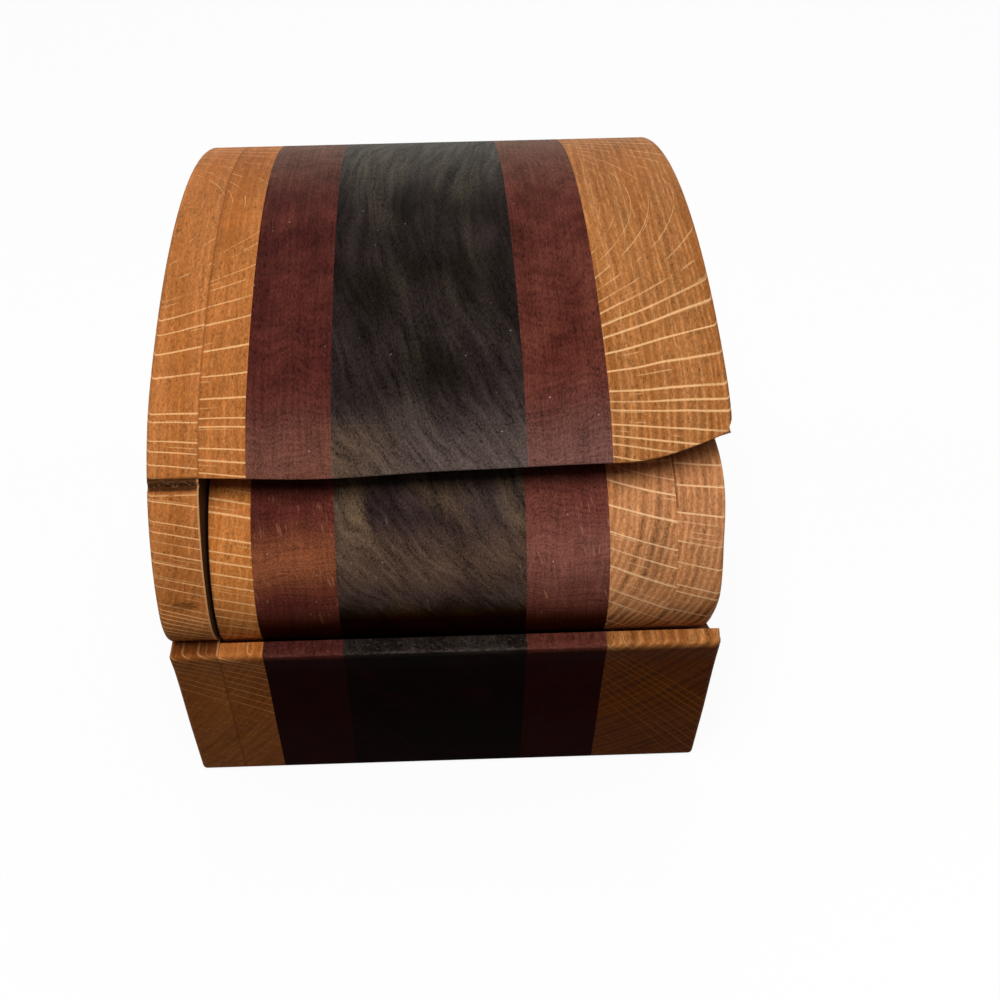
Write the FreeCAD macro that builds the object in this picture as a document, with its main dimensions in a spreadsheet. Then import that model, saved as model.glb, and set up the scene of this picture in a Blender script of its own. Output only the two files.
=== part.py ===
"""Oval band-sawn box with a drawer that slides out of its right-hand end.

The body is one laminated block of five boards, sawn to an oval on a tapering foot.
A slice off its left end is glued back as a cheek, which closes the drawer's bay.
The drawer is sawn from the same block, with its own two end slices glued on.
X runs across the boards, Y from front to back and Z up. The foot stands on Z = 0.
All sizes are in millimetres.
"""

import FreeCAD, Part

import math
import os

import Sketcher

DRIVING_SIZES = [
    ("box_width", 95.0),
    ("box_depth", 140.0),
    ("foot_height", 39.4),
    ("foot_taper", 10.4),
    ("ledge_setback", 1.1),
    ("belly_radius", 12.0),
    ("belly_turn", 58.0),
    ("crown_radius", 135.0),
    ("roof_thickness", 22.3),
    ("lip_setback", 8.4),
    ("lip_depth", 8.2),
    ("arris_radius", 1.0),
    ("cheek_thickness", 8.4),
    ("left_oak_width", 16.0),
    ("purpleheart_width", 13.8),
    ("right_oak_width", 19.8),
    ("saw_clearance", 0.65),
    ("bay_back_wall", 23.25),
    ("drawer_axis_drop", 0.5),
    ("drawer_nose_setback", 2.4),
    ("drawer_crown_radius", 18.0),
    ("drawer_belly_radius", 17.0),
    ("drawer_back_radius", 12.0),
    ("drawer_board_shift", 0.2),
    ("drawer_end_inset", 1.0),
    ("drawer_end_thickness", 7.8),
    ("drawer_front_wall", 14.0),
    ("drawer_back_wall", 8.0),
    ("drawer_floor", 7.0),
    ("hollow_radius", 9.0),
    ("thumb_length", 19.6),
    ("thumb_depth", 5.8),
    ("thumb_slope", 38.0),
]

ALONG_X = FreeCAD.Vector(1.0, 0.0, 0.0)


def make_sheet(doc):
    """Writes the driving sizes into a spreadsheet, one named cell each."""
    sheet = doc.addObject("Spreadsheet::Sheet", "Sizes")
    for row, (name, value) in enumerate(DRIVING_SIZES, start=1):
        cell = "B%d" % row
        sheet.set("A%d" % row, name)
        sheet.set(cell, str(value))
        sheet.setAlias(cell, name)
    doc.recompute()
    return sheet


def flat(y, z):
    """A point of a side-view sketch: its first axis is Y, its second is Z."""
    return FreeCAD.Vector(y, z, 0.0)


def around(centre, radius, degrees):
    """A point of a circle; 0 degrees is towards the back, 90 is up."""
    turn = math.radians(degrees)
    return centre + flat(radius * math.cos(turn), radius * math.sin(turn))


def line(start, end):
    return Part.LineSegment(start, end)


def turned_arc(centre, radius, start, end):
    """An arc about a centre between two angles."""
    return Part.Arc(
        around(centre, radius, start),
        around(centre, radius, (start + end) / 2.0),
        around(centre, radius, end),
    )


class Levels:
    """Places that several outlines share, worked out from the sheet."""

    def __init__(self, sheet):
        self.half = sheet.box_depth / 2.0
        self.ledge = sheet.foot_height
        turn = math.radians(sheet.belly_turn)
        self.nose = self.ledge + sheet.belly_radius * math.sin(turn)
        self.belly_out = self.half - sheet.belly_radius
        self.waist = self.belly_out + sheet.belly_radius * math.cos(turn)
        self.ledge_out = self.half - sheet.ledge_setback
        self.foot_out = self.ledge_out - sheet.foot_taper
        self.drawer_axis = self.nose - sheet.drawer_axis_drop
        self.drawer_top = self.drawer_axis + sheet.drawer_crown_radius
        self.drawer_floor = self.drawer_axis - sheet.drawer_belly_radius
        self.drawer_nose = self.half - sheet.drawer_nose_setback
        self.drawer_back = self.half - sheet.bay_back_wall - sheet.saw_clearance
        self.height = self.drawer_top + sheet.saw_clearance + sheet.roof_thickness
        self.crown = flat(0.0, self.height - sheet.crown_radius)
        rise = self.nose - self.crown.y
        over = sheet.crown_radius**2 - self.half**2 - rise**2
        self.shoulder_radius = over / (2.0 * (sheet.crown_radius - self.half))
        self.shoulder_out = self.half - self.shoulder_radius
        self.meet = math.degrees(math.atan2(rise, self.shoulder_out))
        self.lip_out = self.half - sheet.lip_setback
        lip_turn = math.acos((self.lip_out - self.shoulder_out) / self.shoulder_radius)
        self.lip_turn = math.degrees(lip_turn)
        self.lip = self.nose + self.shoulder_radius * math.sin(lip_turn)


def side_sketch(doc, name, curves, bound_radii):
    """A closed side-view sketch of curves end to end; some arcs are bound to a cell."""
    sketch = doc.addObject("Sketcher::SketchObject", name)
    turned = FreeCAD.Rotation(FreeCAD.Vector(1.0, 1.0, 1.0), 120.0)
    sketch.Placement = FreeCAD.Placement(FreeCAD.Vector(0.0, 0.0, 0.0), turned)
    sketch.addGeometry(curves, False)
    close = 1e-6
    for index in range(len(curves)):
        after = (index + 1) % len(curves)
        pairs = [(own, other) for own in (1, 2) for other in (1, 2)]
        for own, other in pairs:
            gap = sketch.getPoint(index, own).distanceToPoint(sketch.getPoint(after, other))
            if gap < close:
                joined = Sketcher.Constraint("Coincident", index, own, after, other)
                sketch.addConstraint(joined)
    for index, cell in bound_radii.items():
        label = "%s_%d" % (cell, index)
        radius = Sketcher.Constraint("Radius", index, sketch.Geometry[index].Radius)
        sketch.renameConstraint(sketch.addConstraint(radius), label)
        sketch.setExpression("Constraints." + label, "Sizes." + cell)
    return sketch


def back_and_foot(sheet, at):
    """The outline's curves from the back shoulder down, under the foot, to the ledge."""
    belly = flat(at.belly_out, at.nose)
    waist = flat(at.waist, at.ledge)
    return [
        turned_arc(flat(at.shoulder_out, at.nose), at.shoulder_radius, at.meet, 0.0),
        turned_arc(belly, sheet.belly_radius, 0.0, -sheet.belly_turn),
        line(waist, flat(at.ledge_out, at.ledge)),
        line(flat(at.ledge_out, at.ledge), flat(at.foot_out, 0.0)),
        line(flat(at.foot_out, 0.0), flat(-at.foot_out, 0.0)),
        line(flat(-at.foot_out, 0.0), flat(-at.ledge_out, at.ledge)),
    ]


def outline(doc, sheet, at):
    """The whole side view: crown, shoulders, bellies, ledges and a tapering foot."""
    front = flat(-at.shoulder_out, at.nose)
    belly = flat(-at.belly_out, at.nose)
    turn = 180.0 + sheet.belly_turn
    curves = [turned_arc(at.crown, sheet.crown_radius, 180.0 - at.meet, at.meet)]
    curves += back_and_foot(sheet, at)
    curves += [
        line(flat(-at.ledge_out, at.ledge), flat(-at.waist, at.ledge)),
        turned_arc(belly, sheet.belly_radius, turn, 180.0),
        turned_arc(front, at.shoulder_radius, 180.0, 180.0 - at.meet),
    ]
    bound = {0: "crown_radius", 2: "belly_radius", 8: "belly_radius"}
    return side_sketch(doc, "block_outline", curves, bound)


def log_curves(sheet, at, grow):
    """The drawer's floor, back and top from its belly to its crown, grown by a clearance."""
    floor, top = at.drawer_floor - grow, at.drawer_top + grow
    radius = sheet.drawer_back_radius + grow
    back = at.drawer_back + grow
    low, high = flat(back - radius, floor + radius), flat(back - radius, top - radius)
    belly = sheet.drawer_belly_radius - at.drawer_nose
    crown = sheet.drawer_crown_radius - at.drawer_nose
    return [
        line(flat(belly, floor), flat(low.x, floor)),
        turned_arc(low, radius, -90.0, 0.0),
        line(flat(back, low.y), flat(back, high.y)),
        turned_arc(high, radius, 0.0, 90.0),
        line(flat(high.x, top), flat(crown, top)),
    ]


def bay_curves(sheet, at):
    """What the saw cuts out for the drawer, from the ledge round to the lip's edge."""
    grow = sheet.saw_clearance
    belly = flat(sheet.drawer_belly_radius - at.drawer_nose, at.drawer_axis)
    radius = sheet.drawer_belly_radius + grow
    under = math.degrees(math.asin((at.drawer_axis - at.ledge) / radius))
    curves = [turned_arc(belly, radius, 180.0 + under, 270.0)]
    curves += log_curves(sheet, at, grow)
    inner_lip = flat(sheet.lip_depth - at.lip_out, at.drawer_top + grow)
    curves[-1] = line(flat(curves[-1].StartPoint.x, inner_lip.y), inner_lip)
    curves.append(line(inner_lip, flat(-at.lip_out, at.lip)))
    return curves


def carcass_section(doc, sheet, at):
    """The side view of a board of the block: the outline with the bay sawn out."""
    front = flat(-at.shoulder_out, at.nose)
    cut = bay_curves(sheet, at)
    curves = [turned_arc(at.crown, sheet.crown_radius, 180.0 - at.meet, at.meet)]
    curves += back_and_foot(sheet, at)
    curves.append(line(flat(-at.ledge_out, at.ledge), around_start(cut[0])))
    curves += cut
    curves.append(
        turned_arc(front, at.shoulder_radius, 180.0 - at.lip_turn, 180.0 - at.meet)
    )
    return side_sketch(doc, "carcass_section", curves, {0: "crown_radius", 2: "belly_radius"})


def around_start(arc):
    """The end of the bay's belly arc that lies on the ledge, which is the higher one."""
    return max((arc.StartPoint, arc.EndPoint), key=lambda end: end.y)


def drawer_outline(doc, sheet, at):
    """The drawer's own side view: a round nose, flat top and floor, rounded back."""
    belly = flat(sheet.drawer_belly_radius - at.drawer_nose, at.drawer_axis)
    crown = flat(sheet.drawer_crown_radius - at.drawer_nose, at.drawer_axis)
    curves = [turned_arc(belly, sheet.drawer_belly_radius, 180.0, 270.0)]
    curves += log_curves(sheet, at, 0.0)
    curves.append(turned_arc(crown, sheet.drawer_crown_radius, 90.0, 180.0))
    bound = {0: "drawer_belly_radius", 2: "drawer_back_radius", 6: "drawer_crown_radius"}
    return side_sketch(doc, "drawer_outline", curves, bound)


def hollow_outline(doc, sheet, at):
    """The drawer's inside, open at the top, with rounded lower corners."""
    front = sheet.drawer_front_wall - at.drawer_nose
    back = at.drawer_back - sheet.drawer_back_wall
    floor = at.drawer_floor + sheet.drawer_floor
    radius = sheet.hollow_radius
    over = at.drawer_top + radius
    curves = [
        turned_arc(flat(front + radius, floor + radius), radius, 180.0, 270.0),
        line(flat(front + radius, floor), flat(back - radius, floor)),
        turned_arc(flat(back - radius, floor + radius), radius, -90.0, 0.0),
        line(flat(back, floor + radius), flat(back, over)),
        line(flat(back, over), flat(front, over)),
        line(flat(front, over), flat(front, floor + radius)),
    ]
    bound = {0: "hollow_radius", 2: "hollow_radius"}
    return side_sketch(doc, "hollow_outline", curves, bound)


def carried(doc, name, sketch, start, end):
    """The solid of a side-view sketch from one X to another, both bound to the sheet."""
    solid = doc.addObject("Part::Extrusion", name)
    solid.Base = sketch
    solid.DirMode = "Custom"
    solid.Dir = ALONG_X
    solid.Solid = True
    solid.setExpression("LengthFwd", "(%s) - (%s)" % (end, start))
    solid.setExpression("Placement.Base.x", start)
    return solid


def less(doc, name, solid, tool):
    """A solid with a tool cut away."""
    cut = doc.addObject("Part::Cut", name)
    cut.Base = solid
    cut.Tool = tool
    return cut


def end_edges(shape, x, side):
    """The numbers of the edges at one X that follow a side view's outline."""
    close = 1e-3
    numbers = []
    for number, edge in enumerate(shape.Edges, start=1):
        box = edge.BoundBox
        at_end = abs(box.XMin - x) < close and abs(box.XMax - x) < close
        middle = edge.valueAt((edge.FirstParameter + edge.LastParameter) / 2.0)
        middle.x = 0.0
        if at_end and side.Shape.distToShape(Part.Vertex(middle))[0] < close:
            numbers.append(number)
    return numbers


def eased(doc, name, solid, x, side, radius):
    """A solid whose arrises around one end are rounded over, along an outline."""
    doc.recompute()
    fillet = doc.addObject("Part::Fillet", name)
    fillet.Base = solid
    fillet.Edges = [(number, radius, radius) for number in end_edges(solid.Shape, x, side)]
    return fillet


LEFT_END = "-Sizes.box_width / 2"
RIGHT_END = "Sizes.box_width / 2"
CHEEK_FACE = LEFT_END + " + Sizes.cheek_thickness"
LEFT_OAK_FACE = LEFT_END + " + Sizes.left_oak_width"
LEFT_PURPLE_FACE = LEFT_OAK_FACE + " + Sizes.purpleheart_width"
RIGHT_OAK_FACE = RIGHT_END + " - Sizes.right_oak_width"
RIGHT_PURPLE_FACE = RIGHT_OAK_FACE + " - Sizes.purpleheart_width"
DRAWER_LEFT = CHEEK_FACE + " + Sizes.saw_clearance"
DRAWER_RIGHT = RIGHT_END + " - Sizes.drawer_end_inset"
DRAWER_END_FACE = DRAWER_RIGHT + " - Sizes.drawer_end_thickness"


def shifted(face):
    """A glue face of the block as it lies in the drawer, moved by the saw's kerf."""
    return face + " - Sizes.drawer_board_shift"


def thumb_tool(doc, sheet, at):
    """What the scoop takes off the lip's end, for a thumb to push the drawer with.

    A drum that slopes down towards the back touches the lip where the scoop starts.
    Whatever lies below the drum is taken off, which is more and more towards the end.
    """
    start = sheet.box_width / 2.0 - sheet.thumb_length
    slope = math.radians(sheet.thumb_slope)
    radius = (sheet.thumb_length**2 + sheet.thumb_depth**2) / (2.0 * sheet.thumb_depth)
    drum = doc.addObject("Part::Cylinder", "thumb_drum")
    drum.Radius = radius
    drum.Height = sheet.box_depth
    above = FreeCAD.Vector(start, -at.lip_out, at.lip + radius / math.cos(slope))
    turned = FreeCAD.Rotation(ALONG_X, -90.0 - sheet.thumb_slope)
    drum.Placement = FreeCAD.Placement(above, turned)
    top = at.drawer_top + sheet.saw_clearance
    climb = at.lip - top + sheet.thumb_depth / math.cos(slope)
    reach = climb / math.tan(slope)
    block = doc.addObject("Part::Box", "thumb_block")
    block.Length = sheet.thumb_length + sheet.arris_radius
    block.Width = sheet.lip_setback + reach + sheet.arris_radius
    block.Height = at.height - at.drawer_axis
    block.Placement.Base = FreeCAD.Vector(start, -at.half, at.drawer_axis)
    return less(doc, "thumb_tool", block, drum)


def make_carcass(doc, sheet, at):
    """The block's five boards with the bay sawn through them, and the cheek."""
    section = carcass_section(doc, sheet, at)
    side = outline(doc, sheet, at)
    boards = [
        ("carcass_oak_left", CHEEK_FACE, LEFT_OAK_FACE),
        ("carcass_purpleheart_left", LEFT_OAK_FACE, LEFT_PURPLE_FACE),
        ("carcass_wenge_centre", LEFT_PURPLE_FACE, RIGHT_PURPLE_FACE),
        ("carcass_purpleheart_right", RIGHT_PURPLE_FACE, RIGHT_OAK_FACE),
    ]
    pieces = [carried(doc, name, section, start, end) for name, start, end in boards]
    right, radius = at_right(sheet), sheet.arris_radius
    end_board = carried(doc, "right_oak_board", section, RIGHT_OAK_FACE, RIGHT_END)
    end_board = less(doc, "right_oak_scooped", end_board, thumb_tool(doc, sheet, at))
    pieces.append(eased(doc, "carcass_oak_right", end_board, right, side, radius))
    cheek = carried(doc, "cheek_slice", side, LEFT_END, CHEEK_FACE)
    pieces.append(eased(doc, "end_cheek", cheek, -right, side, radius))
    return pieces


def at_right(sheet):
    """The X of the box's right-hand end."""
    return sheet.box_width / 2.0


def make_drawer(doc, sheet, at):
    """The drawer's boards round its hollow, and the two slices that close its ends."""
    side = drawer_outline(doc, sheet, at)
    inside = carried(doc, "hollow", hollow_outline(doc, sheet, at), LEFT_END, "2 * Sizes.box_width")
    boards = [
        ("drawer_purpleheart_left", shifted(LEFT_OAK_FACE), shifted(LEFT_PURPLE_FACE)),
        ("drawer_wenge_centre", shifted(LEFT_PURPLE_FACE), shifted(RIGHT_PURPLE_FACE)),
        ("drawer_purpleheart_right", shifted(RIGHT_PURPLE_FACE), shifted(RIGHT_OAK_FACE)),
        ("drawer_oak_right", shifted(RIGHT_OAK_FACE), DRAWER_END_FACE),
    ]
    pieces = []
    for name, start, end in boards:
        log = carried(doc, name + "_log", side, start, end)
        pieces.append(less(doc, name, log, inside))
    inner = carried(doc, "inner_slice", side, DRAWER_LEFT, shifted(LEFT_OAK_FACE))
    inner_x = sheet.cheek_thickness + sheet.saw_clearance - at_right(sheet)
    pieces.append(eased(doc, "drawer_inner_end", inner, inner_x, side, sheet.arris_radius))
    outer = carried(doc, "outer_slice", side, DRAWER_END_FACE, DRAWER_RIGHT)
    outer_x = at_right(sheet) - sheet.drawer_end_inset
    pieces.append(eased(doc, "drawer_outer_end", outer, outer_x, side, sheet.arris_radius))
    return pieces


def check(doc, pieces):
    """Stops if any object failed or any piece isn't one valid solid."""
    doc.recompute()
    for feature in doc.Objects:
        if "Invalid" in feature.State or "Error" in feature.State:
            raise ValueError("%s failed: %s" % (feature.Label, feature.State))
    for piece in pieces:
        shape = piece.Shape
        if shape.isNull() or not shape.isValid() or len(shape.Solids) != 1:
            raise ValueError("%s isn't one valid solid" % piece.Label)


def main():
    doc = FreeCAD.newDocument("band_sawn_box")
    sheet = make_sheet(doc)
    at = Levels(sheet)
    pieces = make_carcass(doc, sheet, at) + make_drawer(doc, sheet, at)
    check(doc, pieces)
    os.makedirs("parts", exist_ok=True)
    for piece in pieces:
        piece.Shape.exportStep(os.path.join("parts", piece.Label + ".step"))
        box = piece.Shape.optimalBoundingBox()
        sides = (box.XMin, box.XMax, box.YMin, box.YMax, box.ZMin, box.ZMax)
        print(piece.Label, ["%.2f" % side for side in sides], "%.0f" % piece.Shape.Volume)


main()
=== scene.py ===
"""The looks of an oval box sawn from five laminated boards, with its drawer.

Every board of the frame is replaced by a finer one with the same faces. A board is
a closed side view carried along X. Sizes are in millimetres until a mesh is written,
with X across the boards, Y from front to back and Z up.
"""

import math

import bmesh
import bpy
import numpy as np
from mathutils import Matrix, Vector
from mathutils.geometry import tessellate_polygon

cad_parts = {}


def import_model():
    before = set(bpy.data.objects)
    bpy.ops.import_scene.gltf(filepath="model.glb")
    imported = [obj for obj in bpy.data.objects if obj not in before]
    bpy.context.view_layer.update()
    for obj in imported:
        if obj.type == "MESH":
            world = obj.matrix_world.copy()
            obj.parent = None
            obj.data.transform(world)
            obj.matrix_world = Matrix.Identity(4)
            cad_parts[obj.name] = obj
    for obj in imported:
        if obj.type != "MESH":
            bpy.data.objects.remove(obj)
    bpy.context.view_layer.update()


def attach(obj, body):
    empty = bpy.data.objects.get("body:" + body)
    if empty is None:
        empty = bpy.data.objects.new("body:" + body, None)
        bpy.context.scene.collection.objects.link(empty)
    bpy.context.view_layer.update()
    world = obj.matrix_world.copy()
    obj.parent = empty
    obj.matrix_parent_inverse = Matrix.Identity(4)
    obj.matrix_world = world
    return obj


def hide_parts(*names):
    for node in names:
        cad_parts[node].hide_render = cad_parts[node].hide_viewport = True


MM = 0.001

# The block, as its source draws it.
HALF_WIDTH = 47.5
HALF_DEPTH = 70.0
FOOT_HEIGHT = 39.4
FOOT_TAPER = 10.4
LEDGE_SETBACK = 1.1
BELLY_RADIUS = 12.0
BELLY_TURN = 58.0
CROWN_RADIUS = 135.0
ROOF = 22.3
LIP_SETBACK = 8.4
LIP_DEPTH = 8.2
CHEEK = 8.4
LEFT_OAK = 16.0
PURPLE = 13.8
RIGHT_OAK = 19.8
KERF = 0.65
BACK_WALL = 23.25
THUMB_LENGTH = 19.6
THUMB_DEPTH = 5.8
THUMB_SLOPE = math.radians(38.0)
THUMB_WORN = 0.12
ARRIS = 0.9

# The drawer.
AXIS_DROP = 0.5
NOSE_SETBACK = 2.4
DRAWER_CROWN = 18.0
DRAWER_BELLY = 17.0
DRAWER_BACK = 12.0
BOARD_SHIFT = 0.2
END_INSET = 1.0
END_SLICE = 7.8
FRONT_WALL = 14.0
REAR_WALL = 8.0
FLOOR_THICKNESS = 7.0
HOLLOW_RADIUS = 9.0

# Levels and reaches that follow from them.
NOSE = FOOT_HEIGHT + BELLY_RADIUS * math.sin(math.radians(BELLY_TURN))
BELLY_OUT = HALF_DEPTH - BELLY_RADIUS
LEDGE_OUT = HALF_DEPTH - LEDGE_SETBACK
FOOT_OUT = LEDGE_OUT - FOOT_TAPER
AXIS = NOSE - AXIS_DROP
DRAWER_TOP = AXIS + DRAWER_CROWN
DRAWER_FLOOR = AXIS - DRAWER_BELLY
DRAWER_NOSE = HALF_DEPTH - NOSE_SETBACK
DRAWER_REAR = HALF_DEPTH - BACK_WALL - KERF
HEIGHT = DRAWER_TOP + KERF + ROOF
CROWN_LEVEL = HEIGHT - CROWN_RADIUS
RISE = NOSE - CROWN_LEVEL
SHOULDER = (CROWN_RADIUS**2 - HALF_DEPTH**2 - RISE**2) / (2.0 * (CROWN_RADIUS - HALF_DEPTH))
SHOULDER_OUT = HALF_DEPTH - SHOULDER
MEET = math.degrees(math.atan2(RISE, SHOULDER_OUT))
LIP_OUT = HALF_DEPTH - LIP_SETBACK

# Glue faces along X.
LEFT = -HALF_WIDTH
CHEEK_FACE = LEFT + CHEEK
FACE_A = LEFT + LEFT_OAK
FACE_B = FACE_A + PURPLE
FACE_D = HALF_WIDTH - RIGHT_OAK
FACE_C = FACE_D - PURPLE
DRAWER_LEFT = CHEEK_FACE + KERF
DRAWER_RIGHT = HALF_WIDTH - END_INSET
SLICE_FACE = DRAWER_RIGHT - END_SLICE

# How finely a side view, an eased corner and a rounded end are drawn.
STEP = 0.5
BEND_POINTS = 6
END_ROWS = 7
SHARP_ANGLE = math.radians(28.0)

# How far the corners of a side view are eased.
LEDGE_EASE = 1.3
BASE_EASE = 1.2
SILL_EASE = 0.3
UNDER_EASE = 0.5
LIP_EASE = 0.35
WALL_EASE = 0.5

# Wear and stray cuts, which the source leaves out.
LIP_DIP = 0.65
LIP_LIFT = 0.3
FOOT_WORN = 0.5
TIP_WORN = 1.0
SLICE_PROUD = 0.6
GROOVE = (69.9, 71.9)
GROOVE_DEPTH = 0.75
GROOVE_RIPPLE = 0.16
BAY_SHY = 1.5


def arc(y, z, radius, start, end, step=STEP):
    """Points of a circle about (y, z) between two angles in degrees, 90 being up."""
    count = int(abs(math.radians(end - start)) * radius / step) + 3
    turn = np.radians(np.linspace(start, end, count))
    return np.column_stack([y + radius * np.cos(turn), z + radius * np.sin(turn)])


def chain(*runs):
    """Runs of points laid end to end as one run, with no point twice."""
    points = np.vstack(runs)
    step = np.linalg.norm(np.diff(points, axis=0), axis=1)
    return points[np.concatenate([[True], step > 1e-6])]


def along(points, head, tail, count):
    """Evenly spaced points of a run, from head past its start to tail before its end."""
    step = np.linalg.norm(np.diff(points, axis=0), axis=1)
    length = np.concatenate([[0.0], np.cumsum(step)])
    wanted = np.linspace(head, length[-1] - tail, count)
    return np.column_stack([np.interp(wanted, length, points[:, side]) for side in (0, 1)])


def run_length(points):
    return float(np.linalg.norm(np.diff(points, axis=0), axis=1).sum())


def closed_view(runs, cuts, counts=None):
    """A closed side view of runs end to end, whose corners are eased.

    cuts holds, for the corner after each run, how far along both runs the easing
    starts. The easing is a quadratic curve with the corner as its control point:
    (1 - t)^2 a + 2 t (1 - t) corner + t^2 b. It also gives the number of the run
    that each point comes from, and how many points each run has.
    """
    counts = counts or [int(run_length(run) / STEP) + 3 for run in runs]
    t = np.linspace(0.0, 1.0, BEND_POINTS + 2)[1:-1, None]
    kept = [
        along(run, cuts[index - 1], cuts[index], counts[index])
        for index, run in enumerate(runs)
    ]
    loop, owner = [], []
    for index, run in enumerate(kept):
        sharp = cuts[index] == 0.0
        part = run[:-1] if sharp else run
        if not sharp:
            after = kept[(index + 1) % len(kept)][0]
            corner = runs[index][-1]
            bend = (1 - t) ** 2 * run[-1] + 2 * t * (1 - t) * corner + t**2 * after
            part = np.vstack([run, bend])
        loop.append(part)
        owner.append(np.full(len(part), index))
    return np.vstack(loop), np.concatenate(owner), counts


def inward(loop):
    """The unit normals of a closed side view, towards its inside."""
    tangent = np.roll(loop, -1, axis=0) - np.roll(loop, 1, axis=0)
    normal = np.column_stack([-tangent[:, 1], tangent[:, 0]])
    normal /= np.linalg.norm(normal, axis=1)[:, None]
    area = np.sum(loop[:, 0] * np.roll(loop[:, 1], -1) - np.roll(loop[:, 0], -1) * loop[:, 1])
    return normal if area > 0 else -normal


def shell(start_angle):
    """The front shoulder from an angle, the crown, the back shoulder and the belly."""
    return chain(
        arc(-SHOULDER_OUT, NOSE, SHOULDER, start_angle, 180.0 - MEET),
        arc(0.0, CROWN_LEVEL, CROWN_RADIUS, 180.0 - MEET, MEET),
        arc(SHOULDER_OUT, NOSE, SHOULDER, MEET, 0.0),
        arc(BELLY_OUT, NOSE, BELLY_RADIUS, 0.0, -BELLY_TURN),
    )


def straight(*corners):
    return np.array(corners, dtype=float)


WAIST = BELLY_OUT + BELLY_RADIUS * math.cos(math.radians(BELLY_TURN))


def foot_side(side):
    """The foot's tapered face, worn slightly hollow below the ledge, going up."""
    z = np.linspace(0.0, FOOT_HEIGHT, 60)
    worn = FOOT_WORN * smooth(z, 14.0, 31.0) * smooth(z, FOOT_HEIGHT, 33.0)
    return np.column_stack([side * (FOOT_OUT + FOOT_TAPER * z / FOOT_HEIGHT - worn), z])


def foot_runs():
    """From the back waist out along the ledge, down, under the foot and up again."""
    return [
        straight((WAIST, FOOT_HEIGHT), (LEDGE_OUT, FOOT_HEIGHT)),
        foot_side(1.0)[::-1],
        straight((FOOT_OUT, 0.0), (-FOOT_OUT, 0.0)),
        foot_side(-1.0),
    ]


def log_run(grow):
    """The drawer's belly, floor, back and top, grown by a clearance."""
    low, high = DRAWER_FLOOR - grow, DRAWER_TOP + grow
    radius = DRAWER_BACK + grow
    rear = DRAWER_REAR + grow - radius
    belly = DRAWER_BELLY - DRAWER_NOSE
    start = 180.0
    if grow:
        start += math.degrees(math.asin((AXIS - FOOT_HEIGHT) / (DRAWER_BELLY + grow)))
    return chain(
        arc(belly, AXIS, DRAWER_BELLY + grow, start, 270.0),
        straight((belly, low), (rear, low)),
        arc(rear, low + radius, radius, -90.0, 0.0),
        arc(rear, high - radius, radius, 0.0, 90.0),
    )


def lip_angle(level):
    """The angle on the front shoulder at which the shell is at a level."""
    return 180.0 - math.degrees(math.asin((level - NOSE) / SHOULDER))


LIP = NOSE + SHOULDER * math.sin(math.acos((LIP_OUT - SHOULDER_OUT) / SHOULDER))
BAY_TOP = DRAWER_TOP + KERF


def lip_sag(x):
    """How far the sawn lip strays from its level: the blade dipped left of the middle."""
    dip = LIP_DIP * math.exp(-(((x + 20.0) / 15.0) ** 2))
    return LIP_LIFT * smooth(x, 4.0, 28.0) - dip


def smooth(value, low, high):
    """0 at low, 1 at high, with level ends."""
    t = np.clip((value - low) / (high - low), 0.0, 1.0)
    return t * t * (3.0 - 2.0 * t)


def scoop_rise(x):
    """How high the thumb scoop's drum is above the lip at the lip's own place."""
    start = HALF_WIDTH - THUMB_LENGTH
    radius = (THUMB_LENGTH**2 + THUMB_DEPTH**2) / (2.0 * THUMB_DEPTH)
    into = max(x - start, 0.0)
    rise = (radius - math.sqrt(radius**2 - into**2)) / math.cos(THUMB_SLOPE)
    return rise * (1.0 - THUMB_WORN * float(smooth(x, HALF_WIDTH - 9.0, HALF_WIDTH)))


def scooped_lip(level, rise):
    """Corners of the underside from the bay's top to the lip's edge, and that edge's level.

    The scoop's roof falls backwards from above the lip at THUMB_SLOPE. The edge is where
    it meets the shoulder's circle, and its back end where it meets the old underside.
    """
    fall = math.tan(THUMB_SLOPE)
    lip_y = -SHOULDER_OUT + SHOULDER * math.cos(math.radians(lip_angle(level)))
    inner = np.array([LIP_DEPTH - LIP_OUT, BAY_TOP])
    if rise < 0.02:
        return [inner, inner], level
    top = level + rise
    a = 1.0 + fall**2
    from_y = lip_y + SHOULDER_OUT
    from_z = top - NOSE
    b = from_y - fall * from_z
    c = from_y**2 + from_z**2 - SHOULDER**2
    u = (-b - math.sqrt(b * b - a * c)) / a
    edge = top - fall * u
    old = (level - BAY_TOP) / (inner[0] - lip_y)
    back = rise / (fall - old)
    if lip_y + back < inner[0]:
        return [inner, np.array([lip_y + back, level - old * back])], edge
    meet = np.array([lip_y + (top - BAY_TOP) / fall, BAY_TOP])
    return [meet, meet], edge


def block_view(x, counts=None):
    """A board of the block at one X, with the bay sawn out and the lip scooped."""
    level = LIP + lip_sag(x)
    corners, edge = scooped_lip(level, scoop_rise(x))
    outer = shell(lip_angle(edge))
    bay = log_run(KERF)
    under = np.vstack([corners[0], corners[1], outer[0]])
    runs = [
        outer,
        *foot_runs(),
        straight((-LEDGE_OUT, FOOT_HEIGHT), tuple(bay[0])),
        bay,
        straight(tuple(bay[-1]), tuple(corners[0])),
        under,
    ]
    foot = [LEDGE_EASE, BASE_EASE, BASE_EASE, LEDGE_EASE]
    cuts = [0.0, *foot, SILL_EASE, 0.0, UNDER_EASE, LIP_EASE]
    return closed_view(runs, cuts, counts)


def bay_shy(loop, owner):
    """1 on the outside of a board of the block, falling to 0 towards its bay."""
    bay = loop[owner >= 6]
    gaps = np.linalg.norm(loop[:, None, :] - bay[None, :, :], axis=2).min(axis=1)
    return np.where(owner >= 6, 0.0, np.clip(gaps / BAY_SHY, 0.0, 1.0))


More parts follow.
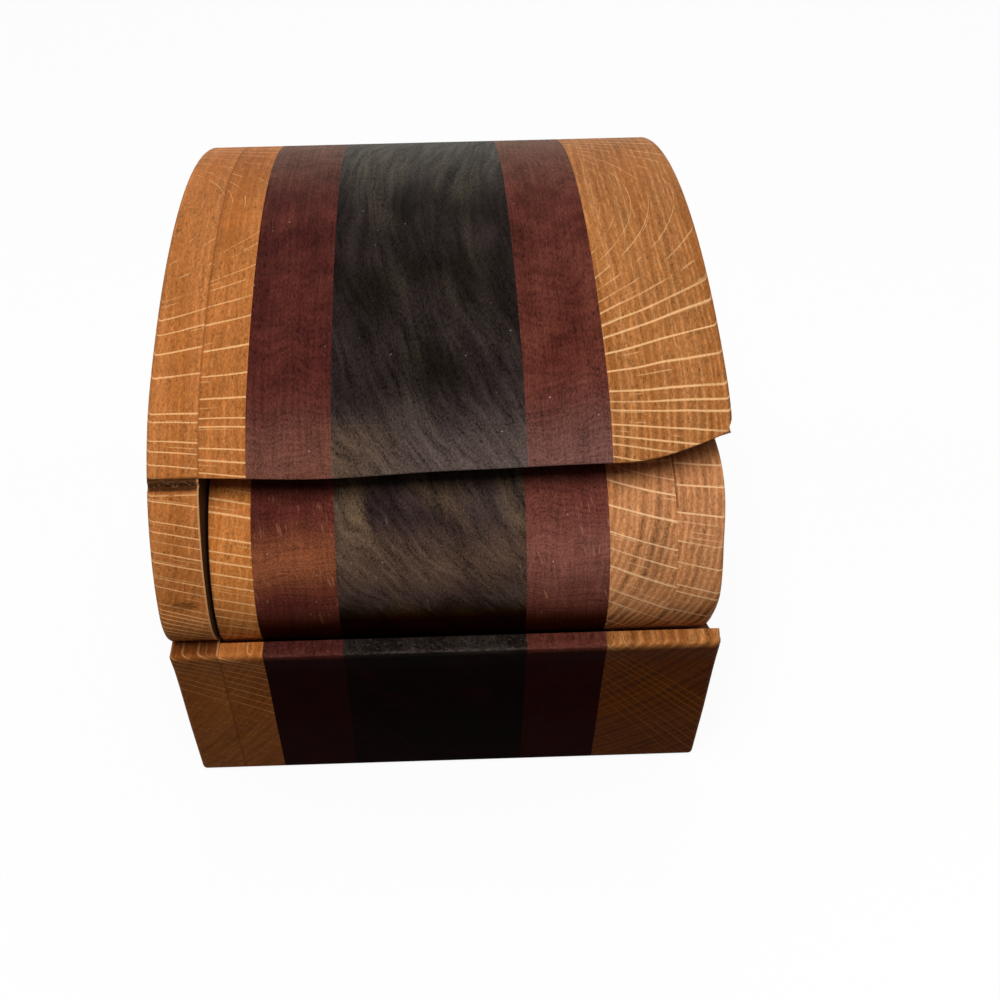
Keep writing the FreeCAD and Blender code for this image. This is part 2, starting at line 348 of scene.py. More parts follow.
def whole_view(groove):
    """The block's whole side view, for the cheek, which a stray cut has grooved."""
    fine = 0.2
    low, high = (180.0 - math.degrees(math.asin((z - NOSE) / SHOULDER)) for z in (68.5, 73.0))
    front = chain(
        arc(-BELLY_OUT, NOSE, BELLY_RADIUS, 180.0 + BELLY_TURN, 180.0),
        arc(-SHOULDER_OUT, NOSE, SHOULDER, 180.0, low),
        arc(-SHOULDER_OUT, NOSE, SHOULDER, low, high, fine),
        shell(high),
    )
    runs = [
        front,
        *foot_runs(),
        straight((-LEDGE_OUT, FOOT_HEIGHT), (-WAIST, FOOT_HEIGHT)),
    ]
    counts = [int(run_length(front) / fine)] + [int(run_length(run) / STEP) + 3 for run in runs[1:]]
    cuts = [0.0, LEDGE_EASE, BASE_EASE, BASE_EASE, LEDGE_EASE, 0.0]
    loop = closed_view(runs, cuts, counts)[0]
    z = loop[:, 1]
    inside = smooth(z, GROOVE[0], GROOVE[0] + 0.5) * smooth(z, GROOVE[1], GROOVE[1] - 0.5)
    middle = 0.6 + 0.4 * np.cos((z - GROOVE[0]) / (GROOVE[1] - GROOVE[0]) * 4.0 * math.pi)
    depth = np.where(loop[:, 0] < 0.0, groove * inside * middle, 0.0)
    return loop + inward(loop) * depth[:, None]


def nose_run():
    return arc(DRAWER_CROWN - DRAWER_NOSE, AXIS, DRAWER_CROWN, 90.0, 180.0)


def drawer_view():
    """The drawer's whole side view, for its two end slices."""
    log = log_run(0.0)
    nose = nose_run()
    runs = [chain(log, straight(tuple(log[-1]), tuple(nose[0])), nose)]
    return closed_view(runs, [0.0])[0]


def trough_view():
    """A drawer board's side view, with the hollow open at the top."""
    log = log_run(0.0)
    nose = nose_run()
    front = FRONT_WALL - DRAWER_NOSE
    rear = DRAWER_REAR - REAR_WALL
    low = DRAWER_FLOOR + FLOOR_THICKNESS
    inside = chain(
        straight((rear, DRAWER_TOP), (rear, low + HOLLOW_RADIUS)),
        arc(rear - HOLLOW_RADIUS, low + HOLLOW_RADIUS, HOLLOW_RADIUS, 0.0, -90.0),
        arc(front + HOLLOW_RADIUS, low + HOLLOW_RADIUS, HOLLOW_RADIUS, 270.0, 180.0),
        straight((front, low + HOLLOW_RADIUS), (front, DRAWER_TOP)),
    )
    wall_top = straight((front, DRAWER_TOP), tuple(nose[0]))
    runs = [chain(nose, log), straight(tuple(log[-1]), (rear, DRAWER_TOP)), inside, wall_top]
    return closed_view(runs, [WALL_EASE, WALL_EASE, WALL_EASE, 0.0])[0]


def cap(view, flip):
    """Triangles that close a side view."""
    corners = [Vector((y, z, 0.0)) for y, z in view.tolist()]
    faces = tessellate_polygon([corners])
    return [face[::-1] for face in faces] if flip else list(faces)


def board(name, rows, body, material, node):
    """A closed board in place of a node: rows of (X, side view), quads and two caps.

    The X of a row is one number, or one for each point of its side view.
    """
    ring = len(rows[0][1])
    points = np.empty((len(rows), ring, 3))
    for row, (x, view) in enumerate(rows):
        points[row, :, 0] = x
        points[row, :, 1:] = view
    here = np.arange(ring)
    after = (here + 1) % ring
    quads = [
        np.column_stack([row * ring + here, row * ring + after,
                         (row + 1) * ring + after, (row + 1) * ring + here])
        for row in range(len(rows) - 1)
    ]
    faces = np.vstack(quads).tolist()
    faces += [list(face) for face in cap(rows[0][1], False)]
    last = (len(rows) - 1) * ring
    faces += [[last + corner for corner in face] for face in cap(rows[-1][1], True)]
    mesh = bpy.data.meshes.new(name)
    mesh.from_pydata((points.reshape(-1, 3) * MM).tolist(), [], faces)
    shape = bmesh.new()
    shape.from_mesh(mesh)
    bmesh.ops.recalc_face_normals(shape, faces=shape.faces)
    shape.to_mesh(mesh)
    shape.free()
    mesh.polygons.foreach_set("use_smooth", np.ones(len(mesh.polygons), dtype=bool))
    mesh.set_sharp_from_angle(angle=SHARP_ANGLE)
    mesh.materials.append(material)
    piece = bpy.data.objects.new(name, mesh)
    bpy.context.scene.collection.objects.link(piece)
    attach(piece, body)
    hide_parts(node)
    return piece


def eased_end(view, x, towards, radius, weight=1.0):
    """Rows that round the arris at one end over, from its start to the end face.

    The round is a quarter circle: inset r (1 - cos a), and X moved r sin a.
    """
    normal = inward(view)
    reach = np.ones(len(view)) * radius
    inset = (reach * weight)[:, None]
    return [
        (x - towards * reach * (1.0 - math.sin(a)), view + normal * inset * (1.0 - math.cos(a)))
        for a in np.radians(np.linspace(0.0, 90.0, END_ROWS))
    ]


def ripple(seed, *axes):
    """A smooth random field, the mean of sine waves in random directions."""
    random = np.random.default_rng(seed)
    total = 0.0
    for _ in range(9):
        phase = random.uniform(0.0, 2.0 * math.pi)
        weights = random.normal(0.0, 1.0, len(axes))
        total = total + np.sin(sum(w * a for w, a in zip(weights, axes)) + phase)
    return total / 3.0


class Wire:
    """A socket that shader maths can be written with."""

    def __init__(self, sheet, socket):
        self.sheet = sheet
        self.socket = socket

    def math(self, operation, *values):
        inputs = dict(enumerate(values))
        return self.sheet.node("ShaderNodeMath", {"operation": operation}, inputs)

    def __add__(self, other):
        return self.math("ADD", self, other)

    def __radd__(self, other):
        return self.math("ADD", other, self)

    def __sub__(self, other):
        return self.math("SUBTRACT", self, other)

    def __rsub__(self, other):
        return self.math("SUBTRACT", other, self)

    def __mul__(self, other):
        return self.math("MULTIPLY", self, other)

    def __rmul__(self, other):
        return self.math("MULTIPLY", other, self)

    def __truediv__(self, other):
        return self.math("DIVIDE", self, other)

    def __pow__(self, other):
        return self.math("POWER", self, other)

    def size(self):
        return self.math("ABSOLUTE", self)

    def least(self, other):
        return self.math("MINIMUM", self, other)

    def most(self, other):
        return self.math("MAXIMUM", self, other)

    def over(self, low, high):
        """0 below low, 1 above high, smooth between them. low may be the greater."""
        return self.sheet.node(
            "ShaderNodeMapRange",
            {"interpolation_type": "SMOOTHSTEP"},
            {"Value": self, "From Min": low, "From Max": high},
        )


class Sheet:
    """A material and the one way in which nodes are added to it."""

    def __init__(self, name):
        self.material = bpy.data.materials.new(name)
        self.material.use_nodes = True
        self.tree = self.material.node_tree
        self.tree.nodes.clear()
        place = self.node("ShaderNodeTexCoord", {}, {}, "Object")
        split = [self.node("ShaderNodeSeparateXYZ", {}, {0: place}, side) for side in (0, 1, 2)]
        self.x, self.y, self.z = [side * 1000.0 for side in split]

    def node(self, kind, settings, inputs, output=0):
        made = self.tree.nodes.new(kind)
        for key, value in settings.items():
            setattr(made, key, value)
        for key, value in inputs.items():
            if isinstance(value, Wire):
                self.tree.links.new(value.socket, made.inputs[key])
            else:
                made.inputs[key].default_value = value
        return Wire(self, made.outputs[output])

    def point(self, x, y, z):
        return self.node("ShaderNodeCombineXYZ", {}, {0: x, 1: y, 2: z})

    def noise(self, x, y, z, detail=2.0, roughness=0.5, distortion=0.0):
        """Cloudy noise about 0.5, with features about 1 unit across."""
        return self.node(
            "ShaderNodeTexNoise",
            {"noise_dimensions": "3D"},
            {"Vector": self.point(x, y, z), "Scale": 1.0, "Detail": detail,
             "Roughness": roughness, "Distortion": distortion},
        )

    def mix(self, factor, first, second, blend="MIX"):
        return self.node(
            "ShaderNodeMix",
            {"data_type": "RGBA", "blend_type": blend},
            {0: factor, 6: first, 7: second},
            2,
        )

    def mix_value(self, factor, first, second):
        """Two numbers mixed by a factor from 0 to 1."""
        return self.node("ShaderNodeMix", {"data_type": "FLOAT"}, {0: factor, 2: first, 3: second})

    def tone(self, colour, factor):
        """A colour made lighter or darker by a factor about 1."""
        grey = self.node("ShaderNodeCombineColor", {}, {0: factor, 1: factor, 2: factor})
        return self.mix(1.0, colour, grey, "MULTIPLY")

    def specks(self, size, spacing, seed, share):
        """Small round specks: cells of a size, of which only a share has one."""
        at = self.point(self.x / spacing + seed, self.y / spacing, self.z / spacing)
        cell = {"voronoi_dimensions": "3D", "feature": "F1"}
        near = self.node("ShaderNodeTexVoronoi", cell, {"Vector": at, "Scale": 1.0}, 0)
        colour = self.node("ShaderNodeTexVoronoi", cell, {"Vector": at, "Scale": 1.0}, 1)
        pick = self.node("ShaderNodeSeparateColor", {}, {0: colour})
        return near.over(size / spacing, 0.4 * size / spacing) * pick.over(1.0 - share, 1.0)

    def finish(self, colour, roughness, height, depth, shine=0.012):
        """Ends the sheet in one Principled surface with a bump from a height."""
        bump = self.node(
            "ShaderNodeBump", {}, {"Height": height, "Distance": depth * MM, "Strength": 1.0}
        )
        surface = self.node(
            "ShaderNodeBsdfPrincipled",
            {},
            {"Base Color": colour, "Roughness": roughness, "Normal": bump,
             "Specular IOR Level": shine},
        )
        self.node_output(surface)
        return self.material

    def node_output(self, surface):
        out = self.tree.nodes.new("ShaderNodeOutputMaterial")
        self.tree.links.new(surface.socket, out.inputs["Surface"])


def tint(red, green, blue):
    """A colour given as screen values from 0 to 255, made linear."""
    screen = np.array([red, green, blue]) / 255.0
    linear = np.where(screen <= 0.04045, screen / 12.92, ((screen + 0.055) / 1.055) ** 2.4)
    return (*linear.tolist(), 1.0)


# The middle of each log: its level, and how far left of the board's start it lies.
LEFT_LOG = (78.5, 84.0)
RIGHT_LOG = (78.7, 40.0)
DRAWER_LEFT_LOG = (74.0, 95.0)
DRAWER_RIGHT_LOG = (71.5, 42.0)
SLICE_LOG = (68.0, 52.0)

# The spacing of the rings, and of the places where a faint short ray may be.
RING_STEP = 1.25
FAINT_STEP = 1.15

# Levels at which the plain rays cross a line of their board, from the bottom up.
CHEEK_RAYS = (25.2, 27.6, 29.4, 31.5, 33.0, 34.6, 36.0, 37.4, 38.7, 42.9, 44.0,
              45.1, 46.4, 47.5, 48.5, 49.4, 50.7, 54.3, 56.0, 58.8, 60.5, 62.3, 63.8, 65.4, 68.3,
              73.1, 74.7, 75.9, 77.9, 78.7, 81.8, 83.6, 85.0, 86.0, 87.2, 88.3, 89.2, 89.7)
LEFT_RAYS = (25.0, 27.2, 29.3, 31.2, 33.1, 34.8, 36.6, 37.9, 38.9, 72.4, 73.9, 75.2, 77.4,
             78.2, 79.9, 81.6, 83.4, 85.1, 86.2, 87.1, 87.6, 88.4, 89.0, 89.5, 89.8)
RIGHT_RAYS = (22.5, 25.0, 27.0, 29.2, 31.0, 33.1, 34.5, 36.0, 37.4, 39.0, 73.0, 74.4, 75.3, 76.5,
              77.9, 78.7, 79.6, 81.2, 82.5, 83.6, 84.4, 85.2, 85.9, 86.6, 87.3, 87.9, 88.5, 89.1)
DRAWER_LEFT_RAYS = (42.2, 45.2, 47.4, 49.2, 51.2, 53.9, 55.8, 57.7, 59.1, 60.9, 63.7, 65.0)
DRAWER_RIGHT_RAYS = (36.0, 39.5, 43.0, 48.2, 50.9, 55.1, 57.9, 60.2, 63.3, 65.6, 66.7)
SLICE_RAYS = (36.0, 41.0, 45.7, 50.0, 51.4, 55.4, 58.6, 62.3, 65.1, 66.6)


def block_thin(s):
    """How thin a ray looks where the lid gets level, 1 being its full width."""
    return (s.y.size() / 58.0).most(0.12)


def drawer_thin(s):
    """The same for the drawer, which is level behind its nose."""
    return ((-47.0 - s.y) / 13.0).most(0.25).least(1.45)


def weave(s):
    """How strongly the rings show: most where the boards are low and near the front."""
    low = s.z.over(47.5, 43.5) * s.z.over(39.6, 41.0)
    return s.y.over(-46.0, -58.0) * 0.45 + low * 1.1 + 0.3


def edge_of(s, *faces):
    """1 at the glue faces that are named by their X, falling to 0 near by."""
    near = None
    for face in faces:
        gap = (s.x - face).size().over(0.32, 0.04)
        near = gap if near is None else near.most(gap)
    return near


def oak(name, seed, tones, log, start, levels, thin, faces, low_shade, marks_and_shade=None):
    """Oak whose fibres run along Y. Its rays are radii of the log, its rings circles.

    A ray that crosses the board's start at a level is, at other X, where
    (z - still) / (x - start + distance) is the same.
    """
    s = Sheet(name)
    still, distance = log
    light, dark, pore, ray, rings = tones
    reach = s.x - (start - distance)
    rise = s.z - still
    drift = s.noise(s.x / 12.0 + seed, s.y / 50.0, s.z / 9.0, 1.0) - 0.5
    level = rise / reach * distance + still + drift * 0.35
    wobble = s.noise(s.x / 4.0, s.y / 30.0, s.z / 5.0 + seed, 2.0) - 0.5
    ring = (reach * reach + rise * rise) ** 0.5 + wobble * 1.0

    narrow = thin(s)
    gap = None
    for z in levels:
        away = (level - z).size()
        gap = away if gap is None else gap.least(away)
    width = s.noise(level * 1.7 + seed, s.x / 14.0, s.y / 30.0, 1.0) * 0.13 + 0.03
    there = s.noise(level * 1.3 + seed, s.x / 16.0, s.y / 25.0, 1.0).over(0.30, 0.46)
    broken = s.noise(level * 2.3 + seed, s.x / 5.0, s.y / 9.0, 1.0).over(0.46, 0.56)
    there = s.mix_value(s.z.over(84.5, 88.0), there * 0.55 + 0.45, broken * 0.55)
    plain = (gap / (width * narrow)).over(1.3, 0.3) * there

    at = {"W": level / FAINT_STEP + seed, "Scale": 1.0, "Randomness": 1.0}
    kind = {"voronoi_dimensions": "1D", "feature": "F1"}
    near = s.node("ShaderNodeTexVoronoi", kind, at, 0)
    chance = s.node("ShaderNodeSeparateColor", {}, {0: s.node("ShaderNodeTexVoronoi", kind, at, 1)})
    short = s.noise(chance * 91.0, s.x / 9.0, s.y / 14.0, 1.0).over(0.55, 0.62)
    faint = (near * FAINT_STEP / (narrow * 0.08)).over(1.0, 0.3) * short * 0.45
    lines = plain.most(faint)

    streak = s.noise(ring / 0.62 + seed, s.y / 30.0, s.z / 7.0, 2.0) - 0.5
    chain_of = s.noise(ring / 0.5 + seed, s.y / 3.0, s.z / 0.75, 1.0) - 0.5
    bands = s.noise(ring / 5.0 + seed, s.y / 60.0, s.z / 40.0, 1.0)
    clouds = s.noise(s.x / 12.0 + seed, s.y / 20.0, s.z / 12.0, 2.0) - 0.5
    grain = s.noise(s.x / 0.26, s.y / 0.9, s.z / 0.34 + seed, 2.0, 0.65) - 0.5
    at = {"W": ring / RING_STEP + seed, "Scale": 1.0, "Randomness": 0.8}
    column = 0.25 - s.node("ShaderNodeTexVoronoi", kind, at, 0)
    dots = s.noise(ring / 0.4 + seed, s.y / 3.0, s.z / 0.45, 1.0).over(0.38, 0.62)
    earlywood = column.over(-0.02, 0.2)
    shade = 1.0 + streak * 0.7 + (bands - 0.5) * 0.5 + clouds * 0.5
    shade = shade + column * weave(s) * rings + chain_of * (earlywood * 0.7 + 0.4) + grain * 1.4
    base = s.mix(bands.over(0.35, 0.65), light, dark)
    colour = s.tone(base, shade.most(0.35))
    pores = (grain + chain_of * 0.6).over(-0.16, -0.30)
    colour = s.mix(pores * 0.3, colour, pore)
    colour = s.mix(earlywood * dots * 0.2 * rings, colour, ray)
    colour = s.mix(lines * (grain * 0.8 + 0.82), colour, ray)
    if faces:
        colour = s.mix(edge_of(s, *faces) * 0.45, colour, pore)
    # Painted shade: darker towards the bottom of the front.
    colour = paint_low_shade(s, colour, *low_shade)
    # Marks, and for some boards painted shade and a painted highlight.
    if marks_and_shade:
        colour = marks_and_shade(s, colour)
    rough = 0.52 + grain * 0.3 - lines * 0.08
    return s.finish(colour, rough, grain - pores * 0.5 + lines * 0.25, 0.05)


def paint_low_shade(s, colour, high, low, share):
    """Painted shade: a front that gets darker downwards, from one level to another, by a share."""
    painted_shade = s.z.over(high, low) * s.y.over(-30.0, -50.0) * share
    left = {0: 1.0 - painted_shade, 1: (1.0 - painted_shade * 1.12).most(0.01), 2: (1.0 - painted_shade * 1.3).most(0.01)}
    return s.mix(1.0, colour, s.node("ShaderNodeCombineColor", {}, left), "MULTIPLY")


def painted_crown_haze(s):
    """1 where the lid curves away behind its top, where a milky painted reflection of the bright
    background goes.
    """
    return s.y.over(-5.0, 48.0) * s.z.over(70.0, 76.0)


def ledge_highlight_and_flecks(s, colour, pale):
    """The front edge of the ledge with a painted highlight line along it, and a rough top beside it
    with pale flecks.
    """
    front = s.y.over(-64.0, -67.0)
    rough = s.noise(s.x / 0.9, s.y / 0.3, s.z / 0.3, 2.0, 0.7)
    line = s.z.over(38.4, 38.75) * s.z.over(39.2, 38.9) * rough.over(0.3, 0.7)
    flecks = s.z.over(38.6, 39.0) * s.z.over(40.2, 39.6) * rough.over(0.56, 0.70)
    return s.mix((line * 0.42).most(flecks * 0.3) * front, colour, pale)


def kerf_shade_and_arris_highlight(s, colour):
    """The cheek's inner arris, pale from its side grain's own colour and a painted highlight, and
    its inner face, deep in the kerf, with painted shade.
    """
    inside = s.x.over(CHEEK_FACE - 0.4, CHEEK_FACE - 0.2)
    low = s.z.over(38.6, 39.6) * s.z.over(71.9, 71.2) * s.y.over(-45.0, -50.0)
    # Pale arris: the side grain's colour with a painted highlight.
    colour = s.mix(inside * low * 0.7, colour, tint(226, 166, 112))
    # Painted shade on the inner face, deep in the kerf.
    deep = s.x.over(CHEEK_FACE - 0.06, CHEEK_FACE - 0.02)
    return s.mix(deep * low * s.z.over(39.5, 40.5) * 0.92, colour, tint(30, 15, 8))


def cheek_marks_and_shade(s, colour):
    """The saw's groove below the lip, dark from its torn fibres and from painted shade, a smudge,
    and a dark rough band in the crease above the foot, painted shade over rough fibres.
    """
    front = s.y.over(-50.0, -55.0)
    rough = s.noise(s.x / 1.5, s.y / 2.0, s.z / 0.35, 3.0, 0.7)
    low, high = GROOVE
    # Dark groove: torn fibres and painted shade in the groove.
    body = s.z.over(low - 0.1, low + 0.5) * s.z.over(high + 0.3, high - 0.3) * front
    colour = s.mix(body * (rough * 0.25 + 0.75), colour, tint(30, 15, 8))
    fuzz = s.z.over(low + 0.45, low + 0.8) * s.z.over(high - 0.5, high - 0.8)
    flecks = s.noise(s.x / 0.45, s.y / 0.8, s.z / 0.3, 2.0, 0.7).over(0.52, 0.66)
    colour = s.mix(fuzz * flecks * front * 0.6, colour, tint(176, 140, 104))
    chips = s.z.over(low - 0.32, low - 0.2) * s.z.over(low - 0.02, low - 0.14)
    colour = s.mix(chips * rough.over(0.36, 0.5) * front * 0.6, colour, tint(226, 176, 122))
    smudge = s.z.over(50.8, 51.6) * s.z.over(53.2, 52.3) * s.x.over(-46.5, -44.0)
    colour = s.mix(smudge * s.x.over(-40.0, -41.5) * rough.over(0.3, 0.6) * 0.75, colour,
                   tint(92, 52, 26))
    # Painted shade in the crease where the belly meets the ledge, over rough dark fibres.
    crease_band = s.z.over(42.6, 41.4) * s.z.over(39.2, 39.6) * rough.over(0.1, 0.4)
    colour = s.mix(crease_band * front * 0.85, colour, tint(74, 26, 14))
    return kerf_shade_and_arris_highlight(s, colour)


def scratches(s, seed, lean, spacing, share):
    """Fine light strokes that lean from upright by a slope, in places only."""
    across = s.x + s.z * lean
    line = s.noise(across / spacing + seed, s.y / 9.0, s.z / 3.0, 1.0)
    place = s.noise(s.x / 3.5 + seed, s.y / 8.0, s.z / 3.0, 1.0)
    return line.over(0.60, 0.68) * place.over(1.0 - share, 1.08 - share)


def purpleheart(name, seed, dark, light, painted_sheen, low_shade, worn=0.0):
    """A dark red wood, crossed by fine lines along both of its cut directions."""
    s = Sheet(name)
    wave = s.noise(s.x / 8.0 + seed, s.y / 40.0, s.z / 12.0, 1.0) - 0.5
    level = s.z + wave * 5.0
    upright = s.x + wave * 2.0
    uprights = s.noise(upright / 0.55 + seed, s.y / 30.0, s.z / 6.0, 1.0) - 0.5
    levels = s.noise(s.x / 7.0, s.y / 30.0, level / 0.33 + seed, 1.0) - 0.5
    grain = s.noise(s.x / 0.26, s.y / 1.2, s.z / 0.26 + seed, 2.0, 0.65) - 0.5
    clouds = s.noise(s.x / 5.0 + seed, s.y / 9.0, s.z / 6.0, 2.0)
    shade = 1.0 + uprights * 0.8 + levels * 0.9 + grain * 2.2
    base = s.mix(clouds.over(0.25, 0.75), dark, light)
    # Painted sheen: a paler band between two levels, strongest at the middle one.
    low, middle, high, paler = painted_sheen
    ragged = s.z + wave * 4.0
    band = ragged.over(low, middle) * ragged.over(high, middle)
    base = s.mix(band * 0.85, base, paler)
    # Painted reflection: a milky haze where the crown curves away.
    base = s.mix(painted_crown_haze(s) * 0.3, base, tint(150, 128, 108))
    colour = s.tone(base, shade.most(0.3))
    if worn:
        colour = s.mix(scratches(s, seed, 0.22, 0.4, 0.42) * worn, colour, tint(196, 140, 110))
    dust = s.specks(0.18, 2.6, seed, 0.4)
    colour = s.mix(dust * 0.6, colour, tint(214, 190, 178))
    # Painted shade low on the front, and a painted highlight along the ledge's front edge.
    colour = ledge_highlight_and_flecks(s, paint_low_shade(s, colour, *low_shade), tint(132, 84, 72))
    return s.finish(colour, 0.5 + grain * 0.3, grain + levels * 0.4, 0.045, 0.004)


def wenge(name, seed, tones, painted_sheen, low_shade, warm=None, worn=0.0):
    """A near-black wood with soft clouds and faint streaks that lean to the left."""
    s = Sheet(name)
    wave = s.noise(s.x / 9.0 + seed, s.y / 30.0, s.z / 9.0, 2.0) - 0.5
    slant = (s.x + s.z) * 0.7071 + wave * 5.0
    soft = s.noise(slant / 6.5 + seed, s.y / 40.0, (s.x - s.z) / 22.0, 2.0)
    fine = s.noise(slant / 0.75 + seed, s.y / 25.0, (s.x - s.z) / 7.0, 2.0) - 0.5
    grain = s.noise(s.x / 0.26, s.y / 1.2, s.z / 0.26 + seed, 2.0, 0.65) - 0.5
    clouds = s.noise(s.x / 9.0 + seed, s.y / 18.0, s.z / 9.0 + 7.0, 2.0)
    base = s.mix(clouds.over(0.30, 0.70), tones[0], tones[1])
    base = s.mix(soft.over(0.48, 0.74) * 0.75, base, tones[2])
    # Painted sheen: a paler band between two levels, strongest at the middle one.
    low, middle, high, paler = painted_sheen
    ragged = s.z + wave * 6.0
    base = s.mix(ragged.over(low, middle) * ragged.over(high, middle) * 0.85, base, paler)
    if warm:
        colour, left, right, low, high = warm
        place = s.x.over(left, right) * s.z.over(high, low) * s.z.over(60.0, 68.0)
        base = s.mix(place * 0.7, base, colour)
    # Painted reflection: a milky haze where the crown curves away.
    base = s.mix(painted_crown_haze(s) * 0.22, base, tint(150, 146, 134))
    shade = 1.0 + fine * 1.9 + grain * 2.8
    colour = s.tone(base, shade.most(0.25))
    if worn:
        colour = s.mix(scratches(s, seed, 0.30, 0.45, 0.40) * worn, colour, tint(168, 150, 132))
    dust = s.specks(0.17, 2.5, seed, 0.4)
    colour = s.mix(dust * 0.5, colour, tint(188, 182, 176))
    # Painted shade low on the front, and a painted highlight along the ledge's front edge.
    colour = ledge_highlight_and_flecks(s, paint_low_shade(s, colour, *low_shade), tint(110, 98, 92))
    return s.finish(colour, 0.5 + grain * 0.3, grain + fine * 0.4, 0.045, 0.003)


# Light and dark wood, pores, rays, and how strongly the rings show.
OAK_LEFT = (tint(177, 108, 54), tint(158, 92, 41), tint(102, 54, 18), tint(240, 184, 124), 0.4)
OAK_CHEEK = (tint(182, 113, 60), tint(163, 97, 46), tint(104, 56, 20), tint(240, 184, 126), 0.25)
OAK_INNER = (tint(200, 126, 64), tint(180, 108, 50), tint(112, 60, 22), tint(246, 190, 130), 0.3)
OAK_DRAWER = (tint(188, 126, 80), tint(174, 112, 66), tint(112, 66, 34), tint(246, 198, 148), 0.9)
OAK_RIGHT = (tint(170, 109, 59), tint(152, 93, 45), tint(98, 56, 24), tint(240, 188, 132), 0.85)


def build_block():
    """The five boards with the bay sawn through them, and the cheek."""
    counts = block_view(0.0)[2]

    def rows(stations):
        return [(x, block_view(x, counts)[0]) for x in stations]

    # Painted shade: the last tuple darkens the front below the ledge.
    left = oak("oak_inner", 2.0, OAK_LEFT, LEFT_LOG, CHEEK_FACE, LEFT_RAYS, block_thin,
               (CHEEK_FACE,), (38.7, 37.0, 0.5))
    board("block_oak_left", rows(np.linspace(CHEEK_FACE, FACE_A, 5)), "carcass", left,
          "carcass_oak_left")
    # Painted sheen: a paler band on the lid's front from 60 to 82 mm, most at 72.5 mm.
    lip_sheen = (60.0, 72.5, 82.0)
    # Painted shade on the foot's front, darker below the ledge.
    foot_shade = (38.7, 37.0, 0.88)
    purple = purpleheart("purpleheart_left", 3.0, tint(66, 28, 25), tint(83, 40, 33),
                         (*lip_sheen, tint(112, 70, 57)), foot_shade)
    board("block_purpleheart_left", rows(np.linspace(FACE_A, FACE_B, 8)), "carcass",
          purple, "carcass_purpleheart_left")
    brown = (tint(86, 66, 50), -2.0, -17.0, 74.5, 79.0)
    dark = wenge("wenge_centre", 5.0, (tint(25, 20, 15), tint(40, 32, 31), tint(62, 54, 45)),
                 (*lip_sheen, tint(84, 71, 66)), foot_shade, brown)
    board("block_wenge", rows(np.linspace(FACE_B, FACE_C, 14)), "carcass", dark,
          "carcass_wenge_centre")
    purple = purpleheart("purpleheart_right", 11.0, tint(76, 35, 27), tint(95, 49, 39),
                         (*lip_sheen, tint(112, 76, 69)), foot_shade)
    board("block_purpleheart_right", rows(np.linspace(FACE_C, FACE_D, 8)), "carcass",
          purple, "carcass_purpleheart_right")

    # Painted shade: the last tuple darkens the front below the ledge.
    right = oak("oak_right", 9.0, OAK_RIGHT, RIGHT_LOG, FACE_D, RIGHT_RAYS, block_thin, (),
                (38.7, 37.0, 0.78))
    stations = np.concatenate([[FACE_D], np.linspace(FACE_D + 0.3, HALF_WIDTH - ARRIS, 44)])
    end, owner, _ = block_view(HALF_WIDTH - ARRIS, counts)
    from_ledge = (end - np.array([-LEDGE_OUT, FOOT_HEIGHT])) / 2.5
    ledge = np.exp(-(from_ledge**2).sum(axis=1))
    reach = ARRIS * (1.0 + ledge)
    ends = eased_end(end, HALF_WIDTH, 1.0, reach, bay_shy(end, owner))
    tip = TIP_WORN * np.exp(-((np.linalg.norm(end - end[0], axis=1) / 1.3) ** 2))
    ends = [(x - tip * row / (END_ROWS - 1), view) for row, (x, view) in enumerate(ends)]
    board("block_oak_right", rows(stations) + ends[1:], "carcass", right,
          "carcass_oak_right")

    stations = np.linspace(LEFT + ARRIS, CHEEK_FACE - 0.8, 22)
    depths = [GROOVE_DEPTH + GROOVE_RIPPLE * float(ripple(4, x / 0.9)) for x in stations]
    middle = [(x, whole_view(depth)) for x, depth in zip(stations, depths)]
    ends = eased_end(middle[0][1], LEFT, -1.0, ARRIS)
    last = middle[-1][1]
    z = last[:, 1]
    beside_bay = smooth(z, 40.0, 42.0) * smooth(z, 71.5, 70.5) * (last[:, 0] < 0.0)
    reach = 0.2 + 0.4 * smooth(z, 58.0, 44.0) + 0.25 * smooth(z, 58.0, 70.0)
    inner = eased_end(last, CHEEK_FACE, 1.0, reach, beside_bay)
    # Painted shade darkens the cheek's front from 50 mm down; its marks add painted shade and a
    # painted highlight.
    marked = oak("oak_cheek", 17.0, OAK_CHEEK, LEFT_LOG, CHEEK_FACE - 2.0, CHEEK_RAYS, block_thin,
                 (CHEEK_FACE,), (50.0, 37.0, 0.5), cheek_marks_and_shade)
    board("cheek", ends[::-1] + middle[1:] + inner, "carcass", marked, "end_cheek")


def kerf_dark(s, colour):
    """The drawer's left face, deep in the saw's kerf, hardly gets any light."""
    inside = s.x.over(DRAWER_LEFT - 0.08, DRAWER_LEFT - 0.2)
    return s.mix(inside * 0.9, colour, tint(22, 13, 8))


def slice_step_shadow(s, colour):
    """Painted shadow: the ragged dark step where the end slice stands proud of the drawer's board.
    """
    rough = s.noise(s.x / 0.8, s.y / 2.0, s.z / 0.6, 2.0, 0.6)
    step = (s.x + (rough - 0.5) * 0.5).over(SLICE_FACE + 0.55, SLICE_FACE + 0.1)
    return s.mix(step * s.z.over(61.5, 63.5) * 0.75, colour, tint(72, 40, 18))


